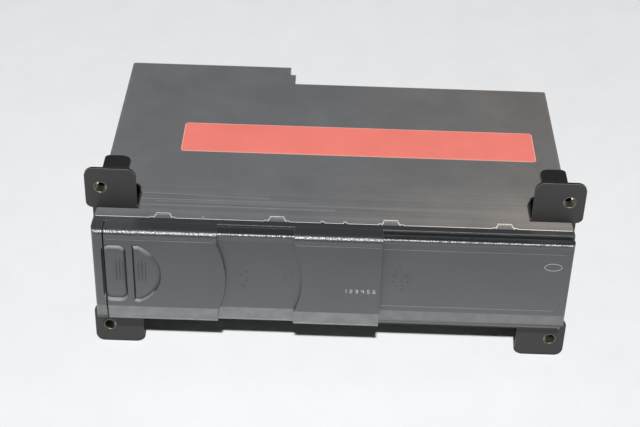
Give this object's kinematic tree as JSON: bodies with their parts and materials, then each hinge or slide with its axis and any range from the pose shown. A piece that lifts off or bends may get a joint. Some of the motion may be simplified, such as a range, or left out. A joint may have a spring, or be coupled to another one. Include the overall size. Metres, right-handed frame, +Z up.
{
  "type": "car cd changer",
  "caption": "Flat metal-cased disc changer for a car with a two-leaf sliding front door, removable disc magazine, lift-mounted player and side mounting brackets with bolt ears.",
  "frame": {"origin": "centre of the bounding box's bottom face", "axes": "+X to the right along the front, +Y from the front door to the rear, +Z up through the top cover"},
  "size_m": [0.2652, 0.1802, 0.1171],
  "materials": {
    "cover_paint": "satin",
    "tray_steel": "satin",
    "bracket_paint": "satin",
    "screw_zinc": "satin",
    "label_print": "satin",
    "bezel_plastic": "fine texture",
    "leaf_plastic": "fine texture",
    "deck_steel": "satin",
    "damper_rubber": "matt",
    "spring_steel": "bright",
    "glide_plastic": "matt",
    "post_steel": "bright",
    "motor_can": "satin",
    "screw_brass": "satin",
    "magazine_plastic": "fine texture",
    "tray_plastic": "fine texture",
    "lift_steel": "satin",
    "hook_plastic": "matt",
    "clamper_plastic": "matt",
    "chassis_plastic": "matt",
    "lens_glass": "polished",
    "button_plastic": "satin",
    "switch_plastic": "matt",
    "lever_steel": "satin",
    "board_laminate": "satin",
    "chip_resin": "matt",
    "capacitor_sleeve": "gloss",
    "sink_aluminium": "satin",
    "connector_plastic": "matt",
    "pin_brass": "bright"
  },
  "bodies": {
    "case": {"top_cover": "cover_paint", "chassis_tray": "tray_steel", "bracket_left": "bracket_paint", "bracket_right": "bracket_paint", "bracket_screws": "screw_zinc", "cover_screws": "screw_zinc", "top_label": "label_print", "front_bezel": "bezel_plastic", "mech_deck": "deck_steel", "rubber_dampers": "damper_rubber", "suspension_springs": "spring_steel", "magazine_glides": "glide_plastic", "guide_posts": "post_steel", "post_bridges": "deck_steel", "lift_motor": "motor_can", "eject_spring": "spring_steel", "button_bracket": "lever_steel", "eject_switch": "switch_plastic", "lever_post": "post_steel", "main_board": "board_laminate", "board_posts": "screw_brass", "board_screws": "screw_zinc", "ic_packages": "chip_resin", "capacitors": "capacitor_sleeve", "heat_sink": "sink_aluminium", "data_connector": "connector_plastic", "connector_pins": "pin_brass"},
    "door_inner": {"door_inner_leaf": "leaf_plastic"},
    "door_outer": {"door_outer_leaf": "leaf_plastic"},
    "magazine": {"magazine_case": "magazine_plastic", "tray_2": "tray_plastic", "tray_3": "tray_plastic", "tray_4": "tray_plastic", "tray_5": "tray_plastic", "tray_6": "tray_plastic"},
    "tray_one": {"tray_1": "tray_plastic"},
    "button": {"eject_button": "button_plastic"},
    "lever": {"eject_lever": "lever_steel"},
    "lift": {"lift_frame": "lift_steel", "traverse_pins": "post_steel", "transfer_rail": "lift_steel", "clamp_arm": "lift_steel"},
    "hook": {"transfer_hook": "hook_plastic"},
    "disc_clamper": {"clamper": "clamper_plastic"},
    "drive_screw": {"lift_screw": "screw_brass"},
    "traverse": {"traverse_chassis": "chassis_plastic", "sled_rods": "post_steel", "spindle_motor": "motor_can", "sled_motor": "motor_can"},
    "spindle": {"turntable": "clamper_plastic"},
    "sled": {"sled_carriage": "chassis_plastic", "objective_lens": "lens_glass"},
    "sled_screw": {"lead_screw": "screw_brass"}
  },
  "joints": [
    {"name": "door_inner_slide", "type": "slide", "parent": "case", "child": "door_inner", "axis": [1, 0, 0], "range_m": [0, 0.097]},
    {"name": "door_outer_slide", "type": "slide", "parent": "door_inner", "child": "door_outer", "axis": [1, 0, 0], "range_m": [0, 0.0404]},
    {"name": "eject_button_push", "type": "slide", "parent": "case", "child": "button", "axis": [0, 1, 0], "range_m": [0, 0.0025], "stiffness_N_per_m": 300, "deforming": ["eject_spring"]},
    {"name": "magazine_eject", "type": "slide", "parent": "case", "child": "magazine", "axis": [0, 1, 0], "range_m": [-0.011, 0]},
    {"name": "eject_lever_turn", "type": "hinge", "parent": "case", "child": "lever", "pos_m": [-0.112, 0.06285, 0.05505], "axis": [0, 0, 1], "range_deg": [-24.3, 0.1]},
    {"name": "tray_one_slide", "type": "slide", "parent": "magazine", "child": "tray_one", "axis": [1, 0, 0], "range_m": [0, 0.1125]},
    {"name": "transfer_hook_slide", "type": "slide", "parent": "lift", "child": "hook", "axis": [1, 0, 0], "range_m": [-0.0001, 0.1126]},
    {"name": "lift_travel", "type": "slide", "parent": "case", "child": "lift", "axis": [0, 0, 1], "range_m": [-0.0285, 0]},
    {"name": "lift_screw_turn", "type": "hinge", "parent": "case", "child": "drive_screw", "pos_m": [0.104, 0.06145, 0.0653], "axis": [0, 0, 1], "range_deg": [-1711, 1]},
    {"name": "clamper_turn", "type": "hinge", "parent": "lift", "child": "disc_clamper", "pos_m": [0.0575, -0.00815, 0.0833], "axis": [0, 0, 1], "continuous": true},
    {"name": "traverse_tip", "type": "hinge", "parent": "lift", "child": "traverse", "pos_m": [0.08, 0.04385, 0.0696], "axis": [-1, 0, 0], "range_deg": [0, 3.6]},
    {"name": "turntable_spin", "type": "hinge", "parent": "traverse", "child": "spindle", "pos_m": [0.0575, -0.00815, 0.0743], "axis": [0, 0, 1], "continuous": true},
    {"name": "sled_slide", "type": "slide", "parent": "traverse", "child": "sled", "axis": [1, 0, 0], "range_m": [0, 0.033]},
    {"name": "lead_screw_turn", "type": "hinge", "parent": "traverse", "child": "sled_screw", "pos_m": [0.08, 0.01035, 0.0704], "axis": [1, 0, 0], "range_deg": [-1, 3961]}
  ],
  "couplings": [
    {"joint": "eject_lever_turn", "follows": "magazine_eject", "rad_per_m": 38.19},
    {"joint": "transfer_hook_slide", "follows": "tray_one_slide", "ratio": 1},
    {"joint": "lift_screw_turn", "follows": "lift_travel", "rad_per_m": 1047.2},
    {"joint": "lead_screw_turn", "follows": "sled_slide", "rad_per_m": 2094.4}
  ]
}
